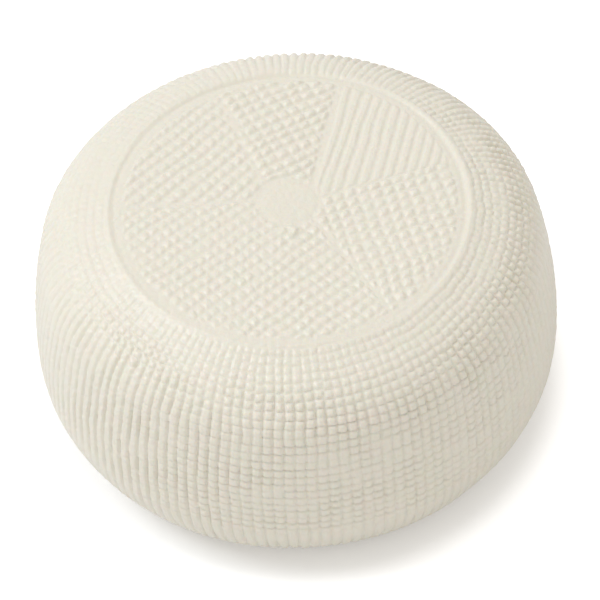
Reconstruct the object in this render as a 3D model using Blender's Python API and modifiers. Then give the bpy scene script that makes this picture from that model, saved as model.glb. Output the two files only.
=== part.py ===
"""A moulded ricotta round, turned out of its basket mould upside down.

One solid piece of fresh cheese. The mould's ribs run down its rounded wall, and the mould's bottom left
the recessed disc on top, with six sectors of ridges or bumps round a smooth button. Metres, +Z up. The
origin is the middle of the flat base.
"""

import math

import bmesh
import bpy
from mathutils import Matrix, Vector

# The outline of the wall is a chain of stretches that meet smoothly, each from one slope to the next.
# A slope is 0 where the outline runs level outwards, 90 straight down and 180 level inwards.
LIP_RADIUS = 0.0538
CROWN_SLOPE = 19.0
CROWN_LENGTH = 0.0095
SHOULDER_RADIUS = 0.0204
SIDE_SLOPE = 76.5
SIDE_LENGTH = 0.0343
BELLY_RADIUS = 0.0345
BELLY_END_SLOPE = 128.0
FOOT_RADIUS = 0.0176
SHOULDER_STEPS = 3
SIDE_STEPS = 2
BELLY_STEPS = 2
FOOT_STEPS = 2

# The ribs down the wall, which start at the groove outside the lip and fade out at the base. Both
# groove values along the crown are distances from the lip.
RIB_COUNT = 153
RIB_DEPTH = 0.0007
GROOVE_MIDDLE = 0.0009
GROOVE_END = 0.0018
GROOVE_DEPTH = 0.0005

# The recess inside the lip, with its domed floor.
RECESS_RADIUS = 0.0533
FLOOR_RADIUS = 0.0512
RECESS_DEPTH = 0.0008
FLOOR_RISE = 0.0020
FLOOR_RINGS = 2
RECESS_STEPS = 60
CUTTER_ROOM = 0.0040

# The imprint on the floor: six sectors of bumps or ridges between narrow smooth seams.
BUMP_PITCH = 0.0035
BUMP_HEIGHT = 0.0007
TILE_STEP = 0.00025
TILE_FOOT = 0.0012
TILE_INNER_RADIUS = 0.0092
TILE_OUTER_RADIUS = 0.0497
OUTER_CUT_DEGREES = 10.0
SEAM_WIDTH = 0.0012
LEAST_EDGE = 0.0006
# Each sector's name, the directions of the two seams that bound it, the direction of its rows, and
# whether its rows are whole ridges.
SECTORS = (
    ("upper_right", 15.0, 72.0, 74.0, True),
    ("top", 72.0, 114.0, 27.0, False),
    ("upper_left", 114.0, 178.0, 43.0, False),
    ("lower_left", 178.0, 249.0, 37.0, False),
    ("bottom", 249.0, 302.0, 39.5, False),
    ("right", 302.0, 375.0, 15.0, False),
)

# The smooth button in the middle.
BUTTON_RADIUS = 0.0081
BUTTON_HEIGHT = 0.0005
BUTTON_FOOT = 0.0012
BUTTON_STEPS = 36

MERGE = 0.00001
CURD_COLOUR = (0.80, 0.77, 0.67, 1.0)
CURD_ROUGHNESS = 0.55


def clear_scene():
    for obj in list(bpy.data.objects):
        bpy.data.objects.remove(obj, do_unlink=True)


def new_collection(name):
    collection = bpy.data.collections.new(name)
    bpy.context.scene.collection.children.link(collection)
    return collection


def add_object(name, mesh, collection):
    obj = bpy.data.objects.new(name, mesh)
    collection.objects.link(obj)
    return obj


def curd_material():
    material = bpy.data.materials.new("curd")
    material.use_nodes = True
    shader = material.node_tree.nodes["Principled BSDF"]
    shader.inputs["Base Color"].default_value = CURD_COLOUR
    shader.inputs["Roughness"].default_value = CURD_ROUGHNESS
    shader.inputs["Metallic"].default_value = 0.0
    return material


def direction(degrees):
    angle = math.radians(degrees)
    return Vector((math.cos(angle), math.sin(angle), 0.0))


def stretch(point, slope, end_slope, length, steps):
    """Points along a stretch that turns evenly from slope to end_slope, without its first point."""
    radius, height = point
    turn = math.radians(end_slope - slope) / steps
    chord = length / steps
    if turn:
        chord *= math.sin(turn / 2) / (turn / 2)
    points = []
    for step in range(steps):
        heading = math.radians(slope) + turn * (step + 0.5)
        radius += chord * math.cos(heading)
        height -= chord * math.sin(heading)
        points.append((radius, height))
    return points


def arc_length(radius, slope, end_slope):
    return radius * math.radians(end_slope - slope)


def wall_outline():
    """The wall as (radius, height), from the lip down to the base, which is at height 0."""
    lip = (LIP_RADIUS, 0.0)
    middle = stretch(lip, CROWN_SLOPE, CROWN_SLOPE, GROOVE_MIDDLE, 1)[0]
    start = stretch(lip, CROWN_SLOPE, CROWN_SLOPE, GROOVE_END, 1)[0]
    points = [lip, (middle[0], middle[1] - GROOVE_DEPTH), start]
    stretches = (
        (CROWN_SLOPE, CROWN_SLOPE, CROWN_LENGTH - GROOVE_END, 1),
        (CROWN_SLOPE, SIDE_SLOPE, arc_length(SHOULDER_RADIUS, CROWN_SLOPE, SIDE_SLOPE), SHOULDER_STEPS),
        (SIDE_SLOPE, 90.0, SIDE_LENGTH, SIDE_STEPS),
        (90.0, BELLY_END_SLOPE, arc_length(BELLY_RADIUS, 90.0, BELLY_END_SLOPE), BELLY_STEPS),
        (BELLY_END_SLOPE, 180.0, arc_length(FOOT_RADIUS, BELLY_END_SLOPE, 180.0), FOOT_STEPS),
    )
    for slope, end_slope, length, steps in stretches:
        points += stretch(points[-1], slope, end_slope, length, steps)
    base = points[-1][1]
    return [(radius, height - base) for radius, height in points]


WALL = wall_outline()
LIP_HEIGHT = WALL[0][1]
FLOOR_HEIGHT = LIP_HEIGHT - RECESS_DEPTH


def floor_height(radius):
    """Height of the domed floor of the recess."""
    return FLOOR_HEIGHT + FLOOR_RISE * (1.0 - (radius / FLOOR_RADIUS) ** 2)


def turned(name, outline, steps, collection):
    """A closed solid turned about Z, from an outline that runs down its outer side from axis to axis."""
    points = [(radius, 0.0, height) for radius, height in outline]
    edges = [(index, index + 1) for index in range(len(points) - 1)]
    profile = bpy.data.meshes.new(name + "_outline")
    profile.from_pydata(points, edges, [])
    obj = add_object(name, profile, collection)
    screw = obj.modifiers.new("turn", "SCREW")
    screw.steps = steps
    screw.render_steps = steps
    screw.use_merge_vertices = True
    screw.merge_threshold = MERGE
    apply_modifiers(obj)
    return obj


def apply_modifiers(obj):
    bpy.context.view_layer.update()
    graph = bpy.context.evaluated_depsgraph_get()
    mesh = bpy.data.meshes.new_from_object(obj.evaluated_get(graph))
    before = obj.data
    obj.modifiers.clear()
    obj.data = mesh
    bpy.data.meshes.remove(before)


def press_ribs(mesh):
    """Moves every other line down the wall inwards, which leaves the lines between as ribs."""
    step = math.pi / RIB_COUNT
    for vertex in mesh.vertices:
        radius = vertex.co.xy.length
        line = round(math.atan2(vertex.co.y, vertex.co.x) / step)
        on_ribs = radius > WALL[1][0] + MERGE and vertex.co.z > MERGE
        if on_ribs and line % 2:
            inner = 1.0 - RIB_DEPTH / radius
            vertex.co.x *= inner
            vertex.co.y *= inner


def make_body(collection):
    outline = [(0.0, LIP_HEIGHT)] + WALL + [(0.0, 0.0)]
    body = turned("ricotta_round", outline, 2 * RIB_COUNT, collection)
    press_ribs(body.data)
    return body


def make_recess_cutter(collection):
    """Cuts the recess: its domed floor, and the slope up to the lip."""
    above = LIP_HEIGHT + CUTTER_ROOM
    side = RECESS_RADIUS + CUTTER_ROOM * (RECESS_RADIUS - FLOOR_RADIUS) / RECESS_DEPTH
    radii = [FLOOR_RADIUS * (FLOOR_RINGS - ring) / FLOOR_RINGS for ring in range(FLOOR_RINGS + 1)]
    outline = [(0.0, above), (side, above)]
    outline += [(radius, floor_height(radius)) for radius in radii]
    return turned("recess_cutter", outline, RECESS_STEPS, collection)


def keep_side(bm, point, outward):
    """Cuts the sheet at a plane and removes what lies on its outward side."""
    everything = bm.verts[:] + bm.edges[:] + bm.faces[:]
    bmesh.ops.bisect_plane(bm, geom=everything, plane_co=point, plane_no=outward, clear_outer=True)


def trim_to_sector(bm, start, end):
    for degrees, turn in ((start, -90.0), (end, 90.0)):
        outward = direction(degrees + turn)
        keep_side(bm, -outward * SEAM_WIDTH / 2, outward)
    inward = -direction((start + end) / 2)
    keep_side(bm, -inward * TILE_INNER_RADIUS, inward)
    cuts = math.ceil((end - start) / OUTER_CUT_DEGREES)
    for cut in range(cuts):
        outward = direction(start + (end - start) * (cut + 0.5) / cuts)
        keep_side(bm, outward * TILE_OUTER_RADIUS, outward)
    bmesh.ops.remove_doubles(bm, verts=bm.verts, dist=LEAST_EDGE)


def bumpy_sheet(start, end, rows):
    """A sheet of square cells, each drawn up to a point."""
    bm = bmesh.new()
    cells = 2 * math.ceil(TILE_OUTER_RADIUS / BUMP_PITCH)
    bmesh.ops.create_grid(bm, x_segments=cells, y_segments=cells, size=cells * BUMP_PITCH / 2)
    bmesh.ops.rotate(bm, verts=bm.verts, matrix=Matrix.Rotation(math.radians(rows), 3, "Z"))
    trim_to_sector(bm, start, end)
    half_diagonal = BUMP_PITCH / math.sqrt(2)
    bmesh.ops.poke(bm, faces=bm.faces, offset=BUMP_HEIGHT / half_diagonal, use_relative_offset=True)
    return bm


def ridged_sheet(start, end, rows):
    """A sheet folded into long ridges, two strips to each."""
    bm = bmesh.new()
    strips = 4 * math.ceil(TILE_OUTER_RADIUS / BUMP_PITCH)
    size = strips * BUMP_PITCH / 4
    bmesh.ops.create_grid(bm, x_segments=1, y_segments=strips, size=size)
    for vertex in bm.verts:
        line = round((vertex.co.y + size) / (BUMP_PITCH / 2))
        vertex.co.z = BUMP_HEIGHT if line % 2 else 0.0
    bmesh.ops.rotate(bm, verts=bm.verts, matrix=Matrix.Rotation(math.radians(rows), 3, "Z"))
    trim_to_sector(bm, start, end)
    return bm


def make_tile(name, start, end, rows, ridges, collection):
    """One sector of the imprint, as a slab whose top has the relief and whose foot is sunk in the cheese."""
    bm = ridged_sheet(start, end, rows) if ridges else bumpy_sheet(start, end, rows)
    for vertex in bm.verts:
        vertex.co.z += floor_height(vertex.co.xy.length) + TILE_STEP
    rim = [edge for edge in bm.edges if edge.is_boundary]
    skirt = bmesh.ops.extrude_edge_only(bm, edges=rim)["geom"]
    foot = [item for item in skirt if isinstance(item, bmesh.types.BMVert)]
    for vertex in foot:
        vertex.co.z = FLOOR_HEIGHT - TILE_FOOT
    bmesh.ops.contextual_create(bm, geom=[item for item in skirt if isinstance(item, bmesh.types.BMEdge)])
    bmesh.ops.recalc_face_normals(bm, faces=bm.faces)
    mesh = bpy.data.meshes.new(name)
    bm.to_mesh(mesh)
    bm.free()
    return add_object(name, mesh, collection)


def make_button(collection):
    top = floor_height(0.0) + BUTTON_HEIGHT
    outline = [(0.0, top), (BUTTON_RADIUS, top), (BUTTON_RADIUS, FLOOR_HEIGHT - BUTTON_FOOT)]
    outline.append((0.0, FLOOR_HEIGHT - BUTTON_FOOT))
    return turned("button", outline, BUTTON_STEPS, collection)


def add_boolean(body, name, operation, collection):
    boolean = body.modifiers.new(name, "BOOLEAN")
    boolean.operation = operation
    boolean.solver = "EXACT"
    boolean.operand_type = "COLLECTION"
    boolean.collection = collection


def remove_collection(collection):
    for obj in list(collection.objects):
        bpy.data.objects.remove(obj, do_unlink=True)
    bpy.data.collections.remove(collection)


def main():
    clear_scene()
    parts = new_collection("moulded_ricotta_round")
    cutters = new_collection("cutters")
    imprint = new_collection("imprint")
    body = make_body(parts)
    make_recess_cutter(cutters)
    make_button(imprint)
    for name, start, end, rows, ridges in SECTORS:
        make_tile("tile_" + name, start, end, rows, ridges, imprint)
    add_boolean(body, "cut_recess", "DIFFERENCE", cutters)
    add_boolean(body, "join_imprint", "UNION", imprint)
    apply_modifiers(body)
    remove_collection(cutters)
    remove_collection(imprint)
    body.data.materials.clear()
    body.data.materials.append(curd_material())
    body.data.shade_smooth()
    body.data.set_sharp_from_angle(angle=math.radians(30.0))


main()
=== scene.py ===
"""The looks of a moulded ricotta round: its beaded wall, its patterned top and its moist curd.

Metres, +Z up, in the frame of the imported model. The side towards -Y is the front. Directions are in
degrees, anticlockwise from +X as seen from above. A place down the wall is the distance from the lip
along the outline.
"""

import math

import bpy
import numpy as np
from mathutils import Matrix, Vector


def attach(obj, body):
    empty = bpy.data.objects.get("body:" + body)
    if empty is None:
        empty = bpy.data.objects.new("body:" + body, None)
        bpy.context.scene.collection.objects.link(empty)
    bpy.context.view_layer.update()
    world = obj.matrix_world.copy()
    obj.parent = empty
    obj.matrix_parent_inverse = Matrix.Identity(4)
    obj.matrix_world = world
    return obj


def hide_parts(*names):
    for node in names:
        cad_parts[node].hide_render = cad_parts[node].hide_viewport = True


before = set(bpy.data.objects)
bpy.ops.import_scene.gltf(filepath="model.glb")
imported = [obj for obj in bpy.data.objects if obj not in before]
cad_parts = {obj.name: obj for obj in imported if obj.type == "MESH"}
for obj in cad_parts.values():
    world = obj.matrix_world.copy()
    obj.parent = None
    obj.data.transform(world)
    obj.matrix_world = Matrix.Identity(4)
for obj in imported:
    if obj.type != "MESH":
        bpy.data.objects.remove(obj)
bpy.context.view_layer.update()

# The outline of the wall: stretches that meet smoothly, each from one slope to the next. A slope is 0
# where the outline runs level outwards, 90 straight down and 180 level inwards.
LIP_RADIUS = 0.0538
CROWN_SLOPE = 19.0
CROWN_LENGTH = 0.0095
SHOULDER_RADIUS = 0.0204
SIDE_SLOPE = 76.5
SIDE_LENGTH = 0.0343
BELLY_RADIUS = 0.0345
BELLY_END_SLOPE = 128.0
FOOT_RADIUS = 0.0176
OUTLINE_STEPS = 4000

# The basket's ribs and rings press the wall into beads. Below the shoulder the print is finer: it
# changes between these two places, to the values whose names end in BELOW. Grooves are as wide as a
# share of the pitch. Ribs and rings wander by a share of the pitch, as soft noise with CELLS round the
# wall, each of a LENGTH down it. The wander lessens between the two places in SETTLES.
BELOW_START = 0.018
BELOW_END = 0.028

RIB_COUNT = 153
RIB_DEPTH = 0.00062
RIB_DEPTH_SPREAD = (0.7, 1.15)
RIB_GROOVE = 0.31
RIB_GROOVE_BELOW = 0.24
RIB_ROUNDING = 0.30
RIB_ROUNDING_BELOW = 0.12
RIB_WANDER = 0.13
RIB_WANDER_BELOW = 0.065
RIB_WANDER_SETTLES = (0.024, 0.036)
RIB_WANDER_CELLS = 85
RIB_WANDER_LENGTH = 0.007
# Where the count of the ribs starts, and by how many pitches they are drawn together towards one side.
RIB_START = 0.95
RIB_CROWDING = 0.45
RIB_CROWDED_AT = -70.0
# Where the ribs stand a little to one side: direction, reach to each side, share of a pitch.
RIB_SHIFTS = (
    (-42.0, 26.0, 0.18),
    (-8.0, 16.0, -0.13),
    (40.0, 75.0, -0.22),
    (-175.0, 55.0, 0.35),
)
# Where they lean on their way down, most on the left: direction, reach to each side, where the lean
# begins and ends, share of a pitch.
RIB_LEANS = (
    (-100.0, 130.0, 0.018, 0.052, 0.30),
    (-175.0, 55.0, 0.026, 0.060, 0.55),
)

RING_PITCH = 0.00287
RING_DEPTH = 0.00042
RING_DEPTH_SPREAD = (0.65, 1.15)
RING_GROOVE = 0.27
RING_GROOVE_BELOW = 0.15
RING_ROUNDING = 0.75
RING_ROUNDING_BELOW = 0.15
RING_WANDER = 0.09
RING_WANDER_BELOW = 0.036
RING_WANDER_SETTLES = (0.018, 0.034)
RING_WANDER_CELLS = 51
RING_WANDER_LENGTH = 0.012
RING_START = 0.0009
# From the lip to the end of this stretch the rings are squeezed together, by this much in all.
RING_SQUEEZE = 0.0013
RING_SQUEEZE_END = 0.026
# Where the rings are pulled up towards the lip: direction, reach to each side, how far.
RING_PULLS = (
    (5.0, 95.0, 0.0020),
    (180.0, 95.0, 0.0020),
)
# On the right they are pulled up further, growing from the lip to the end of the shoulder.
RING_PULL_RIGHT = 0.0010
RING_PULL_RIGHT_AT = -5.0
RING_PULL_RIGHT_REACH = 75.0
RING_PULL_RIGHT_END = 0.018
# Where the rings lie a little higher or lower: direction, reach to each side, where the change begins
# and ends, share of a pitch.
RING_SHIFTS = (
    (-92.0, 24.0, 0.022, 0.045, -0.32),
    (-118.0, 18.0, 0.010, 0.018, 0.20),
)
# Below this the rings are thin lines that run on over several ribs.
LINES_START = 0.030
LINES_ACROSS = 3
LINES_OVER_GROOVES = 0.8
# The share of ring grooves that hardly printed, with their depth against the others, and how much lower
# a bead may stand than the highest ones.
MISSING_GROOVES = 0.08
MISSING_GROOVE_DEPTH = 0.3
BEAD_HEIGHT_SPREAD = 0.00010

# How clearly ribs and rings printed: places down the wall with the share there.
RIB_CLARITY = (
    (0.0012, 0.0),
    (0.0022, 0.42),
    (0.008, 0.48),
    (0.012, 0.66),
    (0.017, 1.15),
    (0.024, 1.40),
    (0.034, 1.30),
    (0.060, 1.25),
    (0.096, 0.6),
)
RING_CLARITY = (
    (0.0003, 0.0),
    (0.0011, 0.42),
    (0.0035, 0.80),
    (0.010, 0.90),
    (0.014, 1.3),
    (0.018, 1.9),
    (0.030, 2.0),
    (0.066, 2.5),
    (0.070, 0.0),
)
# Patches that printed otherwise: direction, reach to each side, first and last place down the wall,
# fade beyond them, and the share by which the print is deeper there.
RIB_PATCHES = (
    (162.0, 78.0, 0.0, 0.022, 0.016, -0.66),
    (-167.0, 28.0, 0.028, 0.100, 0.006, -0.65),
    (-138.0, 25.0, 0.012, 0.018, 0.004, 0.40),
    (-140.0, 30.0, 0.040, 0.062, 0.008, 0.35),
    (0.0, 50.0, 0.0, 0.002, 0.004, -0.35),
    (-58.0, 14.0, 0.0, 0.006, 0.004, -0.4),
    (-135.0, 22.0, 0.0, 0.005, 0.004, -0.35),
    (110.0, 25.0, 0.0, 0.010, 0.004, -0.35),
    (-5.0, 40.0, 0.006, 0.018, 0.006, 0.60),
    (-34.0, 32.0, 0.016, 0.024, 0.009, 0.35),
    (-30.0, 20.0, 0.050, 0.100, 0.008, -0.60),
    (-160.0, 14.0, 0.0, 0.003, 0.004, -0.60),
    (-165.0, 18.0, 0.012, 0.016, 0.004, 0.50),
    (5.0, 14.0, 0.0, 0.012, 0.004, -0.30),
    (-95.0, 25.0, 0.036, 0.070, 0.008, -0.20),
    (22.0, 34.0, 0.0, 0.014, 0.006, 1.6),
    (95.0, 35.0, 0.006, 0.014, 0.004, 0.5),
    (-60.0, 50.0, 0.026, 0.060, 0.008, -0.15),
    (0.0, 42.0, 0.030, 0.100, 0.012, -0.75),
    (-5.0, 60.0, 0.074, 0.100, 0.006, -1.0),
    (-170.0, 60.0, 0.068, 0.100, 0.008, -0.9),
)
RING_PATCHES = (
    (162.0, 100.0, 0.0, 0.024, 0.016, -0.55),
    (-142.0, 35.0, 0.0, 0.004, 0.004, -0.75),
    (-178.0, 22.0, 0.004, 0.009, 0.005, 0.8),
    (-138.0, 26.0, 0.010, 0.014, 0.003, 1.4),
    (-165.0, 85.0, 0.022, 0.100, 0.008, -1.0),
    (-40.0, 25.0, 0.0, 0.018, 0.006, 0.3),
    (18.0, 42.0, 0.0, 0.004, 0.005, 1.2),
    (0.0, 52.0, 0.027, 0.100, 0.009, -0.95),
    (-42.0, 16.0, 0.030, 0.037, 0.004, 0.5),
    (-28.0, 20.0, 0.040, 0.100, 0.006, -0.6),
    (-100.0, 14.0, 0.028, 0.060, 0.006, 0.3),
    (75.0, 75.0, 0.0, 0.030, 0.010, -0.85),
)
# The print also changes at random by this share, in cells round the wall, each of a length down it.
PATCHINESS = 0.35
PATCHINESS_CELLS = 45
PATCHINESS_LENGTH = 0.009

# The rim of the recess on top is a little oval, set to the left, and bulges at the far right.
RIM_RADIUS = 0.0540
RIM_OVAL = 0.00090
RIM_TURN = 12.0
RIM_LEFT = 0.00020
RIM_BULGE = 0.00080
RIM_BULGES_AT = 60.0
RIM_BULGE_REACH = 48.0
# The recess is faint on the left in front. It is deepest at the rim and evens out towards the middle
# with a power of the radius. Its slope reaches a little way down the wall.
RECESS_DEPTH = 0.00036
RECESS_SLOPE = 0.0019
RECESS_FAINTNESS = 0.80
RECESS_FAINT_AT = -125.0
RECESS_FAINT_REACH = 82.0
RECESS_LEVELLING = 4
RECESS_REACH = 0.010
# A ditch runs along the foot of the lip. On the far side the crown itself sags towards it, steepest at
# the ditch.
DITCH_DEPTH = 0.00022
DITCH_WIDTH = 0.0008
DITCH_INSIDE = 0.0011
CROWN_SAG = 0.00125
CROWN_SAGS_AT = 100.0
CROWN_SAG_REACH = 76.0
CROWN_SAG_INSIDE = 0.0006
CROWN_SAG_WIDTH = 0.0031
CROWN_SAG_STEEPNESS = 0.7
# The floor of the recess rises a little towards its middle.
FLOOR_RISE = 0.00072
FLOOR_RADIUS = 0.0520

# The print on the floor of the recess, and the plain button in its middle with the gap round it.
BUMP_HEIGHT = 0.00055
BUMP_HEIGHT_SPREAD = (0.60, 1.12)
BUMP_GROOVE = 0.36
BUMP_ROUNDING = 0.35
BUMP_WANDER = 0.16
PRINT_RADIUS = 0.0510
PRINT_OVAL = 0.0010
PRINT_EDGE = 0.0010
BUTTON_RADIUS = 0.0080
BUTTON_HEIGHT = 0.00014
BUTTON_EDGE = 0.0009
BUTTON_GAP = 0.0010
BUTTON_GAP_CHANGE = 0.0016
BUTTON_GAP_WIDEST = 135.0
BUTTON_GAP_REACH = 120.0

# The seams of the disc: direction outwards, how far it passes left of the middle, its width, and over
# what distance the print fades beside it.
SEAMS = {
    "a": (76.5, -0.0056, 0.0024, 0.0017),
    "b": (15.0, 0.0, 0.0003, 0.0008),
    "c": (-61.0, 0.0026, 0.0018, 0.0012),
    "d": (-109.5, 0.0, 0.0004, 0.0034),
    "e": (178.0, -0.0012, 0.0016, 0.0016),
    "f": (107.0, 0.0048, 0.0012, 0.0034),
}
# The sectors, each from its clockwise seam to the next one round: height of the print as a share,
# direction and pitch of the rows, direction and pitch of the cross rows, and how deep the cross grooves
# are against the first ones.
SECTORS = (
    ("b", "a", 0.69, 74.0, 0.00326, 164.0, 0.0035, 0.10),
    ("a", "f", 1.60, 26.9, 0.00362, 115.0, 0.00375, 0.56),
    ("f", "e", 1.18, 43.1, 0.00385, 129.5, 0.00336, 0.50),
    ("e", "d", 0.89, 36.7, 0.00362, 128.0, 0.00305, 0.75),
    ("d", "c", 1.06, 39.5, 0.00336, 135.0, 0.00331, 0.70),
    ("c", "b", 1.26, 102.0, 0.00368, 18.2, 0.00352, 1.00),
)

# Each random draw has a number of its own, which is added to the seed. A sector takes several.
SEED = 7
RIB_WANDER_DRAW = 1
RING_WANDER_DRAW = 2
RING_STEP_DRAW = 3
RING_DEPTH_DRAW = 4
MISSING_GROOVE_DRAW = 5
BEAD_HEIGHT_DRAW = 6
RIB_DEPTH_DRAW = 7
SWELLING_DRAW = 8
CRUMB_DRAW = 9
PATCHINESS_DRAW = 12
SECTOR_DRAW = 20
DRAWS_PER_SECTOR = 5

# Slow swelling of the soft cheese, and its fine crumb: height, size of a patch across and down, where in
# the random values the middle of the base lies, how many there are before they repeat, and the draw.
SWELLING = (0.00020, 0.021, 0.03, (40.3, 40.7), 64, SWELLING_DRAW)
CRUMB = (0.00010, 0.0011, 0.0013, (400.0, 400.0), 512, CRUMB_DRAW)
# The skin is set back by this, and made even over this distance above the edge of the base.
SKIN_SETBACK = 0.00012
EVEN_AT_BASE = 0.015

# How finely the skin is modelled: columns round it, rows for each ring of the wall, where the plain foot
# starts, the height of its rows, and the width of the disc's. Inside these radii the columns are halved.
COLUMNS = 1224
ROWS_PER_RING = 8
FOOT_START = 0.0700
FOOT_ROW = 0.0012
DISC_ROW = 0.0004
HALF_COLUMNS_WITHIN = 0.030
QUARTER_COLUMNS_WITHIN = 0.014
# Rings of points on the base: share of its radius, and how many times fewer columns there are.
BASE_RINGS = ((0.85, 2), (0.5, 4))

# Sizes of the tables of random values, which repeat beyond them.
WALL_NOISE_ROWS = 16
BEAD_TABLE_ROWS = 64
BUMP_TABLE = 64
BUMP_TABLE_MIDDLE = 20
# How many random values the wander of the bumps on top takes for each pitch.
ROW_WANDER_RATE = 0.5
CROSS_WANDER_RATE = 0.6


def smooth(x):
    """0 below 0, 1 above 1, with a soft start and end."""
    x = np.clip(x, 0.0, 1.0)
    return x * x * (3.0 - 2.0 * x)


def ramp(x, start, end):
    """0 before start, 1 after end, with a soft start and end."""
    return smooth((x - start) / (end - start))


def soft_step(x, width):
    """A step from 0 to 1 at 0, spread over a width."""
    return smooth(x / width + 0.5)


def blend(first, second, share):
    """The first value where share is 0, the second where it is 1."""
    return first + (second - first) * share


def soft_noise(u, v, width, height, draw):
    """Random values from -1 to 1 at whole numbers, blended between. They repeat after width and height."""
    table = np.random.default_rng(SEED + draw).uniform(-1.0, 1.0, (height, width))
    low_u = np.floor(u).astype(int)
    low_v = np.floor(v).astype(int)
    blend_u = smooth(u - low_u)
    blend_v = smooth(v - low_v)
    rows = []
    for step in (0, 1):
        left = table[(low_v + step) % height, low_u % width]
        right = table[(low_v + step) % height, (low_u + 1) % width]
        rows.append(blend(left, right, blend_u))
    return blend(rows[0], rows[1], blend_v)


def wall_outline():
    """Distance from the lip, radius, height and slope along the wall, finely stepped. The base is at 0."""
    stretches = (
        (CROWN_SLOPE, CROWN_SLOPE, CROWN_LENGTH),
        (CROWN_SLOPE, SIDE_SLOPE, SHOULDER_RADIUS * math.radians(SIDE_SLOPE - CROWN_SLOPE)),
        (SIDE_SLOPE, 90.0, SIDE_LENGTH),
        (90.0, BELLY_END_SLOPE, BELLY_RADIUS * math.radians(BELLY_END_SLOPE - 90.0)),
        (BELLY_END_SLOPE, 180.0, FOOT_RADIUS * math.radians(180.0 - BELLY_END_SLOPE)),
    )
    ends = np.cumsum([0.0] + [length for _, _, length in stretches])
    slopes = [stretches[0][0]] + [end for _, end, _ in stretches]
    along = np.linspace(0.0, ends[-1], OUTLINE_STEPS)
    slope = np.radians(np.interp(along, ends, slopes))
    step = np.diff(along)
    middle = (slope[1:] + slope[:-1]) / 2
    radius = LIP_RADIUS + np.concatenate([[0.0], np.cumsum(step * np.cos(middle))])
    drop = np.concatenate([[0.0], np.cumsum(step * np.sin(middle))])
    return along, radius, drop[-1] - drop, slope


ALONG, WALL_RADIUS, WALL_HEIGHT, WALL_SLOPE = wall_outline()
WALL_LENGTH = ALONG[-1]
LIP_HEIGHT = WALL_HEIGHT[0]


def lobe(angle, middle, reach):
    """1 where angle is at middle, fading to 0 at reach degrees to each side of it."""
    away = np.abs((np.degrees(angle) - middle + 180.0) % 360.0 - 180.0)
    return smooth(1.0 - away / reach)


def span(along, start, end, fade):
    """1 between two places down the wall, fading to 0 over fade beyond them."""
    return smooth((along - start) / fade + 1.0) * smooth((end - along) / fade + 1.0)


def wall_noise(angle, along, cells, length, draw):
    """Soft noise with a number of cells round the wall, each of a length down it."""
    return soft_noise(angle / (2.0 * math.pi) * cells, along / length, cells, WALL_NOISE_ROWS, draw)


def clarity(angle, along, stages, patches):
    """How deep a print is at a place on the wall, as a share of its full depth."""
    places, shares = zip(*stages)
    share = np.interp(along, places, shares)
    for direction, reach, start, end, fade, change in patches:
        share = share * (1.0 + change * lobe(angle, direction, reach) * span(along, start, end, fade))
    patchy = wall_noise(angle, along, PATCHINESS_CELLS, PATCHINESS_LENGTH, PATCHINESS_DRAW)
    return share * (1.0 + PATCHINESS * patchy)


def bead_values(draw, spread, rings, ribs):
    """One random value for each bead, looked up by its ring and rib."""
    table = np.random.default_rng(SEED + draw).uniform(*spread, (BEAD_TABLE_ROWS, RIB_COUNT))
    return table[rings % BEAD_TABLE_ROWS, ribs % RIB_COUNT]


def shifts_down_wall(angle, along, shifts):
    """By how many pitches ribs or rings are shifted, over stretches of the way down the wall."""
    shift = np.zeros_like(angle)
    for direction, reach, begins, ends, share in shifts:
        shift = shift + share * lobe(angle, direction, reach) * ramp(along, begins, ends)
    return shift


def rib_place(angle, along):
    """Which rib a point is on, counted round the wall: whole numbers are crests."""
    place = angle / (2.0 * math.pi) * RIB_COUNT + RIB_START
    place = place - RIB_CROWDING * np.cos(angle - math.radians(RIB_CROWDED_AT))
    place = place + shifts_down_wall(angle, along, RIB_LEANS)
    for direction, reach, shift in RIB_SHIFTS:
        place = place + shift * lobe(angle, direction, reach)
    wander = blend(RIB_WANDER, RIB_WANDER_BELOW, ramp(along, *RIB_WANDER_SETTLES))
    noise = wall_noise(angle, along, RIB_WANDER_CELLS, RIB_WANDER_LENGTH, RIB_WANDER_DRAW)
    return place + wander * noise


def ring_place(angle, along, group):
    """Which ring a point is on, counted down the wall: whole numbers are grooves."""
    moved = RING_SQUEEZE * np.minimum(along / RING_SQUEEZE_END, 1.0)
    for direction, reach, pull in RING_PULLS:
        moved = moved + pull * lobe(angle, direction, reach)
    right = lobe(angle, RING_PULL_RIGHT_AT, RING_PULL_RIGHT_REACH)
    moved = moved + RING_PULL_RIGHT * right * np.minimum(along / RING_PULL_RIGHT_END, 1.0)
    place = (along + moved - RING_START) / RING_PITCH
    place = place + shifts_down_wall(angle, along, RING_SHIFTS)
    wander = blend(RING_WANDER, RING_WANDER_BELOW, ramp(along, *RING_WANDER_SETTLES))
    noise = wall_noise(angle, along, RING_WANDER_CELLS, RING_WANDER_LENGTH, RING_WANDER_DRAW)
    steps = np.random.default_rng(SEED + RING_STEP_DRAW).uniform(-1.0, 1.0, RIB_COUNT)
    return place + wander * (noise + steps[group % RIB_COUNT])


def ridge_height(off_crest, groove, rounding):
    """1 on the crest of a ridge, 0 in the groove half a pitch beside it."""
    return smooth((0.5 - off_crest) / groove) * (1.0 - rounding * (2.0 * off_crest) ** 2)


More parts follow.
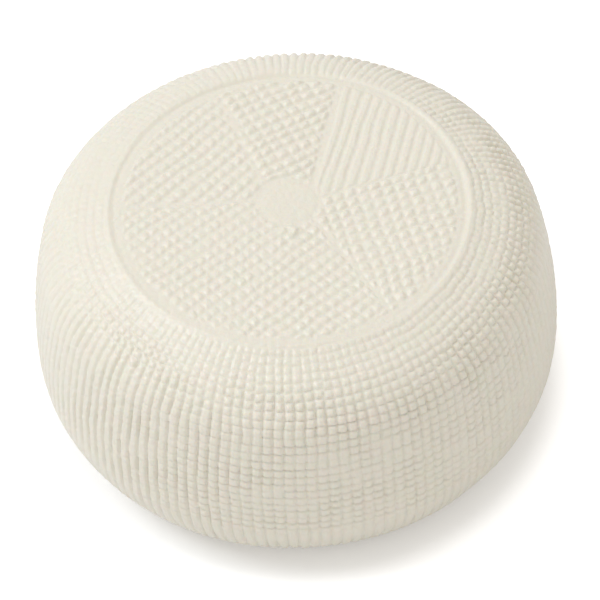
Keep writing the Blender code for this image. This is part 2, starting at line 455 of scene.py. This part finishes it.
def wall_relief(angle, along):
    """How far the skin stands out of the outline, along its normal: at most 0, on the top of a bead."""
    below = ramp(along, BELOW_START, BELOW_END)
    across = rib_place(angle, along)
    rib = np.round(across).astype(int)
    rib_groove = blend(RIB_GROOVE, RIB_GROOVE_BELOW, below)
    rib_rounding = blend(RIB_ROUNDING, RIB_ROUNDING_BELOW, below)
    ridge = ridge_height(np.abs(across - rib), rib_groove, rib_rounding)

    group = np.where(along > LINES_START, rib // LINES_ACROSS, rib)
    down = ring_place(angle, along, group)
    ring = np.round(down).astype(int)
    off_groove = np.abs(down - ring)
    depth = bead_values(RING_DEPTH_DRAW, RING_DEPTH_SPREAD, ring, group)
    missing = bead_values(MISSING_GROOVE_DRAW, (0.0, 1.0), ring, group) < MISSING_GROOVES
    depth = np.where(missing, MISSING_GROOVE_DEPTH * depth, depth)
    cut = (1.0 - smooth(off_groove / blend(RING_GROOVE, RING_GROOVE_BELOW, below))) * depth
    dome = blend(RING_ROUNDING, RING_ROUNDING_BELOW, below) * (1.0 - 2.0 * off_groove) ** 2

    ribs = clarity(angle, along, RIB_CLARITY, RIB_PATCHES)
    rings = clarity(angle, along, RING_CLARITY, RING_PATCHES)
    bead = np.floor(down).astype(int)
    rib_depth = bead_values(RIB_DEPTH_DRAW, RIB_DEPTH_SPREAD, bead, np.floor(across).astype(int))
    relief = RIB_DEPTH * ribs * (ridge - 1.0) * rib_depth
    in_groove = ribs * (1.0 - ridge) * (1.0 - LINES_OVER_GROOVES * below)
    relief -= RING_DEPTH * rings * (cut + dome) / (1.0 + RING_ROUNDING) * (1.0 - np.minimum(in_groove, 1.0))
    lowering = BEAD_HEIGHT_SPREAD * bead_values(BEAD_HEIGHT_DRAW, (-1.0, 0.0), bead, rib)
    beads = np.minimum(np.minimum(ribs, rings), 1.0) * (1.0 - below)
    return relief + lowering * ridge * beads


def recess(radius, angle):
    """How far the lip, the floor inside it and the sagging crown lie below the outline of the crown."""
    outwards = radius - RIM_RADIUS + RIM_OVAL * np.cos(2.0 * (angle - math.radians(RIM_TURN)))
    outwards = outwards + RIM_LEFT * np.cos(angle) - RIM_BULGE * lobe(angle, RIM_BULGES_AT, RIM_BULGE_REACH)
    share = 1.0 - RECESS_FAINTNESS * lobe(angle, RECESS_FAINT_AT, RECESS_FAINT_REACH)
    levelling = (radius / RIM_RADIUS) ** RECESS_LEVELLING
    drop = share * RECESS_DEPTH * (1.0 - soft_step(outwards, RECESS_SLOPE)) * levelling
    drop += share * DITCH_DEPTH * np.exp(-(((outwards + DITCH_INSIDE) / DITCH_WIDTH) ** 2))
    sag = CROWN_SAG * lobe(angle, CROWN_SAGS_AT, CROWN_SAG_REACH) * levelling
    rise = np.clip((outwards + CROWN_SAG_INSIDE) / CROWN_SAG_WIDTH, 0.0, 1.0)
    return drop + sag * (1.0 - smooth(rise ** CROWN_SAG_STEEPNESS))


def skin_noise(x, y, z, height, across, down, middle, repeat, draw):
    """Soft noise over the top that goes on down the wall."""
    u = x / across + middle[0]
    v = y / across + z / down + middle[1]
    return height * soft_noise(u, v, repeat, repeat, draw)


def unevenness(x, y, z):
    """Slow swelling and sinking of the soft cheese, and its fine crumb, along the normal."""
    return skin_noise(x, y, z, *SWELLING) - SKIN_SETBACK + skin_noise(x, y, z, *CRUMB)


def floor_height(x, y):
    """Height of the plain floor of the recess, its slope up to the lip included."""
    radius = np.hypot(x, y)
    dome = FLOOR_RISE * (1.0 - np.minimum(radius / FLOOR_RADIUS, 1.0) ** 2)
    return LIP_HEIGHT - recess(radius, np.arctan2(y, x)) + dome


def left_of(seam, x, y):
    """Distance of a point to the left of a seam, seen along its outward direction."""
    degrees, offset, _, _ = SEAMS[seam]
    angle = math.radians(degrees)
    return -x * math.sin(angle) + y * math.cos(angle) - offset


def beside(seam, distance):
    """0 in the seam, 1 where the print beside it is whole."""
    _, _, width, edge = SEAMS[seam]
    return soft_step(distance - width / 2, edge)


def place_across(x, y, degrees, pitch):
    """Place of a point across rows that run in a direction, in pitches."""
    angle = math.radians(degrees)
    return (-x * math.sin(angle) + y * math.cos(angle)) / pitch


def lattice(x, y, rows, pitch, cross_rows, cross_pitch, cross, draw):
    """Bumps or ridges from 0 in the grooves to 1 on the tops."""
    across = place_across(x, y, rows, pitch)
    along = place_across(x, y, cross_rows, cross_pitch)
    u = along * ROW_WANDER_RATE + BUMP_TABLE_MIDDLE
    row_v = across * ROW_WANDER_RATE + BUMP_TABLE_MIDDLE
    cross_v = across * CROSS_WANDER_RATE + BUMP_TABLE_MIDDLE
    row_place = across + BUMP_WANDER * soft_noise(u, row_v, BUMP_TABLE, BUMP_TABLE, draw)
    cross_place = along + BUMP_WANDER * soft_noise(u, cross_v, BUMP_TABLE, BUMP_TABLE, draw + 1)
    row = np.round(row_place).astype(int)
    cross_row = np.round(cross_place).astype(int)
    ridge = ridge_height(np.abs(row_place - row), BUMP_GROOVE, BUMP_ROUNDING)
    cross_ridge = ridge_height(np.abs(cross_place - cross_row), BUMP_GROOVE, BUMP_ROUNDING)
    heights = np.random.default_rng(SEED + draw + 2).uniform(*BUMP_HEIGHT_SPREAD, (BUMP_TABLE, BUMP_TABLE))
    level = 1.0 - cross + cross * heights[row % BUMP_TABLE, cross_row % BUMP_TABLE]
    return ridge * (1.0 - cross * (1.0 - cross_ridge)) * level


def floor_relief(x, y):
    """The print on the floor of the recess."""
    radius = np.hypot(x, y)
    angle = np.arctan2(y, x)
    gap = BUTTON_GAP + BUTTON_GAP_CHANGE * lobe(angle, BUTTON_GAP_WIDEST, BUTTON_GAP_REACH)
    edge = PRINT_RADIUS - PRINT_OVAL * np.cos(2.0 * angle)
    printed = smooth((edge - radius) / PRINT_EDGE) * smooth((radius - BUTTON_RADIUS - gap) / PRINT_EDGE)
    relief = np.zeros_like(x)
    for number, (start, end, share, *pattern) in enumerate(SECTORS):
        mask = beside(start, left_of(start, x, y)) * beside(end, -left_of(end, x, y))
        bumps = lattice(x, y, *pattern, SECTOR_DRAW + DRAWS_PER_SECTOR * number)
        relief += BUMP_HEIGHT * share * mask * printed * bumps
    return relief + BUTTON_HEIGHT * soft_step(BUTTON_RADIUS - radius, BUTTON_EDGE)


def disc_columns(radius):
    """Fewer columns towards the middle, halved each time the spacing allows."""
    if radius > HALF_COLUMNS_WITHIN:
        return COLUMNS
    if radius > QUARTER_COLUMNS_WITHIN:
        return COLUMNS // 2
    return COLUMNS // 4


def ring_of_directions(columns):
    """Evenly spaced angles once round."""
    return np.arange(columns) * 2.0 * math.pi / columns


def disc_rows():
    """Rings of points from the middle of the disc out to the lip."""
    rows = []
    count = round(LIP_RADIUS / DISC_ROW)
    for step in range(1, count):
        radius = LIP_RADIUS * step / count
        angle = ring_of_directions(disc_columns(radius))
        x = radius * np.cos(angle)
        y = radius * np.sin(angle)
        z = floor_height(x, y) + floor_relief(x, y) + unevenness(x, y, LIP_HEIGHT)
        rows.append(np.stack([x, y, z], axis=1))
    return rows


def wall_rows():
    """Rings of points from the lip down to the edge of the base."""
    printed = np.arange(0.0, FOOT_START, RING_PITCH / ROWS_PER_RING)
    foot = np.arange(printed[-1] + FOOT_ROW, WALL_LENGTH - FOOT_ROW / 2, FOOT_ROW)
    rows = []
    angle = ring_of_directions(COLUMNS)
    for along in np.concatenate([printed, foot, [WALL_LENGTH]]):
        radius = np.interp(along, ALONG, WALL_RADIUS)
        height = np.interp(along, ALONG, WALL_HEIGHT)
        slope = np.interp(along, ALONG, WALL_SLOPE)
        x = radius * np.cos(angle)
        y = radius * np.sin(angle)
        off_base = smooth((WALL_LENGTH - along) / EVEN_AT_BASE)
        out = wall_relief(angle, np.full(COLUMNS, along)) + unevenness(x, y, height) * off_base
        x += out * math.sin(slope) * np.cos(angle)
        y += out * math.sin(slope) * np.sin(angle)
        sunk = recess(radius, angle) if along < RECESS_REACH else 0.0
        z = np.maximum(height + out * math.cos(slope) - sunk, 0.0)
        rows.append(np.stack([x, y, z], axis=1))
    return rows


def base_rows():
    """Flat rings of points from the edge of the base in towards the middle."""
    rows = []
    for share, fewer in BASE_RINGS:
        angle = ring_of_directions(COLUMNS // fewer)
        radius = WALL_RADIUS[-1] * share
        rows.append(np.stack([radius * np.cos(angle), radius * np.sin(angle), 0.0 * angle], axis=1))
    return rows


def fan(centre, ring, facing_down):
    """Triangles between one point and a ring."""
    following = np.roll(ring, -1)
    hub = np.full(len(ring), centre)
    return np.stack([hub, following, ring] if facing_down else [hub, ring, following], axis=1)


def band(inner, outer):
    """Triangles between two rings, of which one may have half as many points."""
    if len(inner) == len(outer):
        here, following = inner, np.roll(inner, -1)
        below, next_below = outer, np.roll(outer, -1)
        return np.concatenate([
            np.stack([here, below, next_below], axis=1),
            np.stack([here, next_below, following], axis=1),
        ])
    growing = len(outer) > len(inner)
    few, many = (inner, outer) if growing else (outer, inner)
    here, following = few, np.roll(few, -1)
    first, second, third = many[0::2], many[1::2], np.roll(many[0::2], -1)
    triangles = np.concatenate([
        np.stack([here, first, second], axis=1),
        np.stack([here, second, following], axis=1),
        np.stack([following, second, third], axis=1),
    ])
    return triangles if growing else triangles[:, ::-1]


def lofted_mesh(name, top, rows, bottom):
    """A closed mesh over rings of points, from a top point to a bottom point."""
    points = np.concatenate([[top]] + rows + [[bottom]])
    starts = np.cumsum([1] + [len(row) for row in rows])
    rings = [np.arange(start, start + len(row)) for start, row in zip(starts, rows)]
    faces = [fan(0, rings[0], False)]
    faces += [band(inner, outer) for inner, outer in zip(rings, rings[1:])]
    faces.append(fan(len(points) - 1, rings[-1], True))
    triangles = np.concatenate(faces).astype(np.int32)
    mesh = bpy.data.meshes.new(name)
    mesh.vertices.add(len(points))
    mesh.vertices.foreach_set("co", points.astype(np.float32).ravel())
    mesh.loops.add(triangles.size)
    mesh.loops.foreach_set("vertex_index", triangles.ravel())
    mesh.polygons.add(len(triangles))
    mesh.polygons.foreach_set("loop_start", np.arange(0, triangles.size, 3, dtype=np.int32))
    mesh.update(calc_edges=True)
    mesh.validate()
    mesh.shade_smooth()
    return mesh


def add_object(name, data):
    """A mesh, lamp or camera, put in the scene."""
    thing = bpy.data.objects.new(name, data)
    bpy.context.scene.collection.objects.link(thing)
    return thing


def make_curd_skin():
    """The whole skin of the cheese: the disc, the wall and the base."""
    middle = np.zeros(1)
    top_height = floor_height(middle, middle) + floor_relief(middle, middle)
    rows = disc_rows() + wall_rows() + base_rows()
    mesh = lofted_mesh("curd_skin", [0.0, 0.0, top_height[0]], rows, [0.0, 0.0, 0.0])
    return add_object("curd_skin", mesh)


# The curd is cream white, turns faintly warmer and cooler, and is more or less moist from place to
# place. A scale is in cells per metre. The light sinks in a little and glows back, redder than it came.
CURD_WARM = (0.815, 0.766, 0.668, 1.0)
CURD_COOL = (0.795, 0.772, 0.660, 1.0)
CURD_TINT_SCALE = 190.0
CURD_TINT_DETAIL = 3.0
CURD_TINT_ENDS = (0.32, 0.68)
CURD_ROUGHNESS = (0.28, 0.50)
CURD_MOISTURE_SCALE = 420.0
CURD_GRAIN_SCALE = 1500.0
CURD_GRAIN_STRENGTH = 0.6
CURD_GRAIN_DEPTH = 0.00014
CURD_FINE_DETAIL = 2.0
CURD_GLOW = 0.25
CURD_GLOW_COLOURS = (1.0, 0.7, 0.45)
CURD_GLOW_DEPTH = 0.0004


def add_noise(tree, place, scale, detail):
    """A noise texture that is fixed to the piece."""
    noise = tree.nodes.new("ShaderNodeTexNoise")
    noise.inputs["Scale"].default_value = scale
    noise.inputs["Detail"].default_value = detail
    tree.links.new(place.outputs["Object"], noise.inputs["Vector"])
    return noise.outputs["Fac"]


def add_range(tree, value, value_ends, result_ends):
    """A value carried from one range over to another."""
    stretch = tree.nodes.new("ShaderNodeMapRange")
    for side, ends in (("From", value_ends), ("To", result_ends)):
        stretch.inputs[side + " Min"].default_value = ends[0]
        stretch.inputs[side + " Max"].default_value = ends[1]
    tree.links.new(value, stretch.inputs["Value"])
    return stretch.outputs["Result"]


def curd_material():
    """Fresh curd: cream white with faint warm and cool patches, a fine grain and a slight moist gloss."""
    material = bpy.data.materials.new("fresh_curd")
    material.use_nodes = True
    tree = material.node_tree
    shader = tree.nodes["Principled BSDF"]
    shader.inputs["Subsurface Weight"].default_value = CURD_GLOW
    shader.inputs["Subsurface Radius"].default_value = CURD_GLOW_COLOURS
    shader.inputs["Subsurface Scale"].default_value = CURD_GLOW_DEPTH

    place = tree.nodes.new("ShaderNodeTexCoord")
    tint = tree.nodes.new("ShaderNodeValToRGB")
    warm, cool = tint.color_ramp.elements
    warm.position, cool.position = CURD_TINT_ENDS
    warm.color = CURD_WARM
    cool.color = CURD_COOL
    tree.links.new(add_noise(tree, place, CURD_TINT_SCALE, CURD_TINT_DETAIL), tint.inputs["Fac"])
    tree.links.new(tint.outputs["Color"], shader.inputs["Base Color"])

    moisture = add_noise(tree, place, CURD_MOISTURE_SCALE, CURD_FINE_DETAIL)
    roughness = add_range(tree, moisture, (0.0, 1.0), CURD_ROUGHNESS)
    tree.links.new(roughness, shader.inputs["Roughness"])

    bump = tree.nodes.new("ShaderNodeBump")
    bump.inputs["Strength"].default_value = CURD_GRAIN_STRENGTH
    bump.inputs["Distance"].default_value = CURD_GRAIN_DEPTH
    tree.links.new(add_noise(tree, place, CURD_GRAIN_SCALE, CURD_FINE_DETAIL), bump.inputs["Height"])
    tree.links.new(bump.outputs["Normal"], shader.inputs["Normal"])
    return material


FLOOR_HALF_WIDTH = 3.0
FLOOR_BELOW_BASE = 0.0001
FLOOR_GREY = (0.88, 0.88, 0.88, 1.0)
FLOOR_ROUGHNESS = 0.9
FLOOR_SHINE = 0.1
# The floor glows for the camera only, a painted light that lifts it to white, and less where the cheese is
# near, a painted contact shadow
# over the real one: how near, the openness that the glow follows, and its strength from the darkest place
# to the open floor.
FLOOR_GLOW_COLOUR = (1.0, 1.0, 1.0, 1.0)
FLOOR_PAINTED_SHADOW_REACH = 0.020
FLOOR_OPENNESS = (0.50, 0.77)
FLOOR_PAINTED_GLOW = (0.19, 0.50)


def floor_material():
    """A white studio floor with a painted glow for the camera, which dims near the cheese into a painted
    contact shadow.
    """
    material = bpy.data.materials.new("white_floor")
    material.use_nodes = True
    tree = material.node_tree
    shader = tree.nodes["Principled BSDF"]
    shader.inputs["Base Color"].default_value = FLOOR_GREY
    shader.inputs["Roughness"].default_value = FLOOR_ROUGHNESS
    shader.inputs["Specular IOR Level"].default_value = FLOOR_SHINE
    shader.inputs["Emission Color"].default_value = FLOOR_GLOW_COLOUR
    # Painted contact shadow: the glow for the camera fades where the floor is closed in by the cheese.
    nearness = tree.nodes.new("ShaderNodeAmbientOcclusion")
    nearness.inputs["Distance"].default_value = FLOOR_PAINTED_SHADOW_REACH
    glow = add_range(tree, nearness.outputs["AO"], FLOOR_OPENNESS, FLOOR_PAINTED_GLOW)
    path = tree.nodes.new("ShaderNodeLightPath")
    seen = tree.nodes.new("ShaderNodeMath")
    seen.operation = "MULTIPLY"
    tree.links.new(glow, seen.inputs[0])
    tree.links.new(path.outputs["Is Camera Ray"], seen.inputs[1])
    tree.links.new(seen.outputs["Value"], shader.inputs["Emission Strength"])
    return material


def make_floor():
    """The plain floor that the cheese stands on."""
    mesh = bpy.data.meshes.new("floor")
    half = FLOOR_HALF_WIDTH
    corners = [(-half, -half, 0.0), (half, -half, 0.0), (half, half, 0.0), (-half, half, 0.0)]
    mesh.from_pydata(corners, [], [(0, 1, 2, 3)])
    mesh.materials.append(floor_material())
    floor = add_object("floor", mesh)
    floor.location.z = -FLOOR_BELOW_BASE


# The camera stands at the photograph's angle. It is aimed at the middle of the base, then turned.
CAMERA_ELEVATION = 50.98
CAMERA_DISTANCE = 1.0221
CAMERA_PAN = 0.08
CAMERA_TILT = -1.29
CAMERA_ROLL = 3.62
CAMERA_LENS = 195.0
CAMERA_SENSOR = 36.0
CAMERA_NEAREST = 0.05
CAMERA_FARTHEST = 20.0


def turn(degrees, axis):
    """A rotation about one axis."""
    return Matrix.Rotation(math.radians(degrees), 4, axis)


def make_camera():
    """The camera, in front of the cheese and above it."""
    data = bpy.data.cameras.new("camera")
    data.sensor_width = CAMERA_SENSOR
    data.lens = CAMERA_LENS
    data.clip_start = CAMERA_NEAREST
    data.clip_end = CAMERA_FARTHEST
    camera = add_object("camera", data)
    aimed = turn(90.0 - CAMERA_ELEVATION, "X")
    place = aimed @ Vector((0.0, 0.0, CAMERA_DISTANCE))
    turned = aimed @ turn(-CAMERA_PAN, "Y") @ turn(-CAMERA_TILT, "X") @ turn(-CAMERA_ROLL, "Z")
    camera.matrix_world = Matrix.Translation(place) @ turned
    bpy.context.scene.camera = camera


# The room is brightest above and a little in front: the axis that it brightens along, and its
# brightness from the dark to the bright end of it.
ROOM_AXIS = (-0.08, -0.17, 0.98)
ROOM_BRIGHTNESS = (0.611, 0.811)
ROOM_COLOUR = (1.0, 0.972, 0.944, 1.0)


def make_room():
    """The soft light that comes from all sides."""
    world = bpy.data.worlds.new("studio")
    world.use_nodes = True
    tree = world.node_tree
    background = tree.nodes["Background"]
    background.inputs["Color"].default_value = ROOM_COLOUR
    place = tree.nodes.new("ShaderNodeTexCoord")
    along = tree.nodes.new("ShaderNodeVectorMath")
    along.operation = "DOT_PRODUCT"
    along.inputs[1].default_value = ROOM_AXIS
    tree.links.new(place.outputs["Generated"], along.inputs[0])
    brightness = add_range(tree, along.outputs["Value"], (-1.0, 1.0), ROOM_BRIGHTNESS)
    tree.links.new(brightness, background.inputs["Strength"])
    bpy.context.scene.world = world


# The softbox stands on the left, a little behind, and points at the middle of the base.
SOFTBOX_DIRECTION = 170.0
SOFTBOX_ELEVATION = 51.0
SOFTBOX_DISTANCE = 5.0
SOFTBOX_SIZE = 2.5
SOFTBOX_POWER = 97.0
SOFTBOX_COLOUR = (0.86, 0.92, 1.0)


def make_softbox():
    """The one large lamp."""
    data = bpy.data.lights.new("softbox", "AREA")
    data.shape = "DISK"
    data.size = SOFTBOX_SIZE
    data.energy = SOFTBOX_POWER
    data.color = SOFTBOX_COLOUR
    softbox = add_object("softbox", data)
    direction = math.radians(SOFTBOX_DIRECTION)
    elevation = math.radians(SOFTBOX_ELEVATION)
    level = math.cos(elevation)
    away = Vector((level * math.cos(direction), level * math.sin(direction), math.sin(elevation)))
    softbox.location = away * SOFTBOX_DISTANCE
    softbox.rotation_euler = away.to_track_quat("Z", "Y").to_euler()


bpy.context.scene.view_settings.view_transform = "Standard"
make_camera()
make_room()
make_softbox()
make_floor()

curd = make_curd_skin()
curd.data.materials.append(curd_material())
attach(curd, "root")
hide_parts("ricotta_round")
